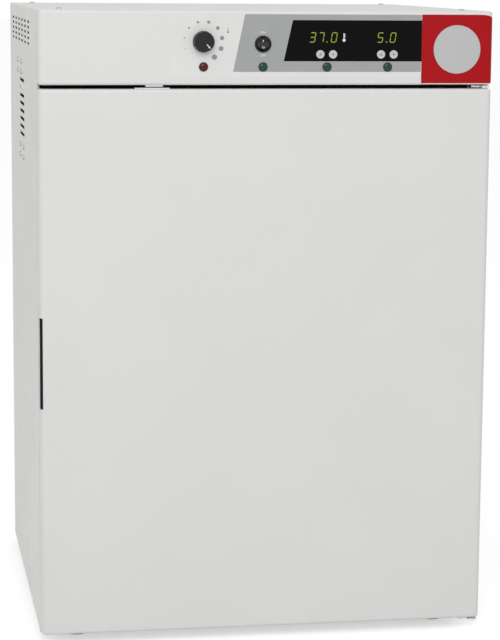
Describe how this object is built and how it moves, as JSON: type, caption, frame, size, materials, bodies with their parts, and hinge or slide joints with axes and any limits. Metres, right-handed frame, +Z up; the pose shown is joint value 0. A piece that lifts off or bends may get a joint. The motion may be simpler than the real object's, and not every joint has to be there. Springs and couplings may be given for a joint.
{
  "type": "carbon dioxide incubator",
  "caption": "Bench-top carbon dioxide incubator: insulated cabinet with hinged outer and inner glass doors, racked shelves, ceiling blower and a control panel.",
  "frame": {"origin": "on the bench, under the middle of the whole outline", "axes": "+Z up, +Y from the front (door) to the back, +X to the right seen from the front"},
  "size_m": [0.6398, 0.64, 0.8934],
  "materials": {
    "paint_white": "smooth satin white powder paint",
    "paint_cabinet": "satin warm light grey paint",
    "paint_frame": "satin light grey paint",
    "stainless": "brushed stainless sheet",
    "zinc_plate": "zinc plated steel",
    "insulation_foam": "matte rigid foam or wool",
    "heater_rubber": "matte silicone mat",
    "seal_rubber": "soft matte silicone",
    "clear_glass": "clear toughened glass with ground edges",
    "black_plastic": "fine-textured black moulding",
    "window_black": "gloss black acrylic",
    "white_plastic": "satin white moulding",
    "lamp_lens": "clear coloured lens",
    "circuit_board": "solder-masked board",
    "overlay_film": "fine matte printed film",
    "badge_silver": "satin aluminium",
    "cast_aluminium": "fine cast surface",
    "sensor_steel": "grey moulding with steel probes",
    "brass_fitting": "machined brass",
    "gas_hose": "translucent tube",
    "stopper_rubber": "smooth silicone rubber",
    "foot_rubber": "matte rubber pad on a steel stem"
  },
  "bodies": {
    "cabinet": {"access_port": "cast_aluminium", "air_plenum": "stainless", "back_panel": "paint_cabinet", "badge_disc": "badge_silver", "base_pan": "paint_cabinet", "case_screws": "zinc_plate", "chamber_heaters": "heater_rubber", "chamber_insulation": "insulation_foam", "chamber_liner": "stainless", "chamber_sensors": "sensor_steel", "control_board": "circuit_board", "control_fascia": "paint_white", "display_window": "window_black", "door_catch": "zinc_plate", "door_hinge_brackets": "zinc_plate", "equipment_deck": "zinc_plate", "fan_motor": "cast_aluminium", "front_frame": "paint_frame", "gas_inlet_fitting": "brass_fitting", "gas_line": "gas_hose", "gas_solenoid_valve": "zinc_plate", "glass_hinge_brackets": "stainless", "glass_seal": "seal_rubber", "humidity_pan": "stainless", "indicator_lamps": "lamp_lens", "latch_keeper": "stainless", "panel_overlay": "overlay_film", "power_inlet": "black_plastic", "power_supply": "zinc_plate", "power_switch_body": "black_plastic", "safety_thermostat": "black_plastic", "shelf_racks": "stainless", "side_panels": "paint_cabinet", "top_cover": "paint_cabinet"},
    "door": {"door_skin": "paint_white", "door_pull_cup": "black_plastic", "door_inner_panel": "stainless", "door_insulation": "insulation_foam", "door_gasket": "seal_rubber", "door_hinge_bushes": "white_plastic", "door_strike": "zinc_plate"},
    "glass_door": {"glass_pane": "clear_glass", "glass_hinge_leaves": "stainless"},
    "glass_latch": {"glass_latch": "stainless"},
    "shelf_low": {"shelf_low": "stainless"},
    "shelf_middle": {"shelf_middle": "stainless"},
    "shelf_top": {"shelf_top": "stainless"},
    "fan": {"fan_impeller": "cast_aluminium", "fan_shaft": "zinc_plate"},
    "thermostat_knob": {"thermostat_knob": "black_plastic"},
    "power_rocker": {"power_rocker": "black_plastic"},
    "button_temp_up": {"button_temp_up": "white_plastic"},
    "button_temp_down": {"button_temp_down": "white_plastic"},
    "button_co2_up": {"button_co2_up": "white_plastic"},
    "button_co2_down": {"button_co2_down": "white_plastic"},
    "port_stopper": {"port_stopper": "stopper_rubber"},
    "foot_front_left": {"foot_front_left": "foot_rubber"},
    "foot_front_right": {"foot_front_right": "foot_rubber"},
    "foot_back_left": {"foot_back_left": "foot_rubber"},
    "foot_back_right": {"foot_back_right": "foot_rubber"}
  },
  "joints": [
    {"name": "door_swing", "type": "hinge", "parent": "cabinet", "child": "door", "pos_m": [0.309, -0.296, 0.4], "axis": [0, 0, 1], "range_deg": [0, 170]},
    {"name": "glass_door_swing", "type": "hinge", "parent": "cabinet", "child": "glass_door", "pos_m": [0.274, -0.259, 0.4], "axis": [0, 0, 1], "range_deg": [0, 108]},
    {"name": "glass_latch_turn", "type": "hinge", "parent": "glass_door", "child": "glass_latch", "pos_m": [-0.2443, -0.259, 0.4], "axis": [0, 1, 0], "range_deg": [0, 90]},
    {"name": "shelf_low_slide", "type": "slide", "parent": "cabinet", "child": "shelf_low", "axis": [0, -1, 0], "range_m": [0, 0.119]},
    {"name": "shelf_middle_slide", "type": "slide", "parent": "cabinet", "child": "shelf_middle", "axis": [0, -1, 0], "range_m": [0, 0.119]},
    {"name": "shelf_top_slide", "type": "slide", "parent": "cabinet", "child": "shelf_top", "axis": [0, -1, 0], "range_m": [0, 0.119]},
    {"name": "fan_spin", "type": "hinge", "parent": "cabinet", "child": "fan", "pos_m": [0, -0.0155, 0.715], "axis": [0, 0, 1], "continuous": true},
    {"name": "knob_turn", "type": "hinge", "parent": "cabinet", "child": "thermostat_knob", "pos_m": [-0.0915, -0.306, 0.8482], "axis": [0, -1, 0], "range_deg": [0, 255]},
    {"name": "rocker_tilt", "type": "hinge", "parent": "cabinet", "child": "power_rocker", "pos_m": [-0.0087, -0.3045, 0.8451], "axis": [1, 0, 0], "range_deg": [0, 20]},
    {"name": "button_temp_up_press", "type": "slide", "parent": "cabinet", "child": "button_temp_up", "axis": [0, 1, 0], "range_m": [0, 0.0007], "stiffness_N_per_m": 400},
    {"name": "button_temp_down_press", "type": "slide", "parent": "cabinet", "child": "button_temp_down", "axis": [0, 1, 0], "range_m": [0, 0.0007], "stiffness_N_per_m": 400},
    {"name": "button_co2_up_press", "type": "slide", "parent": "cabinet", "child": "button_co2_up", "axis": [0, 1, 0], "range_m": [0, 0.0007], "stiffness_N_per_m": 400},
    {"name": "button_co2_down_press", "type": "slide", "parent": "cabinet", "child": "button_co2_down", "axis": [0, 1, 0], "range_m": [0, 0.0007], "stiffness_N_per_m": 400},
    {"name": "stopper_pull", "type": "slide", "parent": "cabinet", "child": "port_stopper", "axis": [0, 1, 0], "range_m": [0, 0.045]},
    {"name": "foot_front_left_turn", "type": "hinge", "parent": "cabinet", "child": "foot_front_left", "pos_m": [-0.2625, -0.231, 0], "axis": [0, 0, 1], "range_deg": [0, 1800]},
    {"name": "foot_back_left_turn", "type": "hinge", "parent": "cabinet", "child": "foot_back_left", "pos_m": [-0.2625, 0.234, 0], "axis": [0, 0, 1], "range_deg": [0, 1800]},
    {"name": "foot_front_right_turn", "type": "hinge", "parent": "cabinet", "child": "foot_front_right", "pos_m": [0.2625, -0.231, 0], "axis": [0, 0, 1], "range_deg": [0, 1800]},
    {"name": "foot_back_right_turn", "type": "hinge", "parent": "cabinet", "child": "foot_back_right", "pos_m": [0.2625, 0.234, 0], "axis": [0, 0, 1], "range_deg": [0, 1800]}
  ],
  "couplings": [
    {"joint": "glass_door_swing", "follows": "door_swing", "ratio": 0.635},
    {"joint": "shelf_low_slide", "follows": "door_swing", "m_per_rad": 0.04},
    {"joint": "shelf_middle_slide", "follows": "door_swing", "m_per_rad": 0.04},
    {"joint": "shelf_top_slide", "follows": "door_swing", "m_per_rad": 0.04}
  ]
}
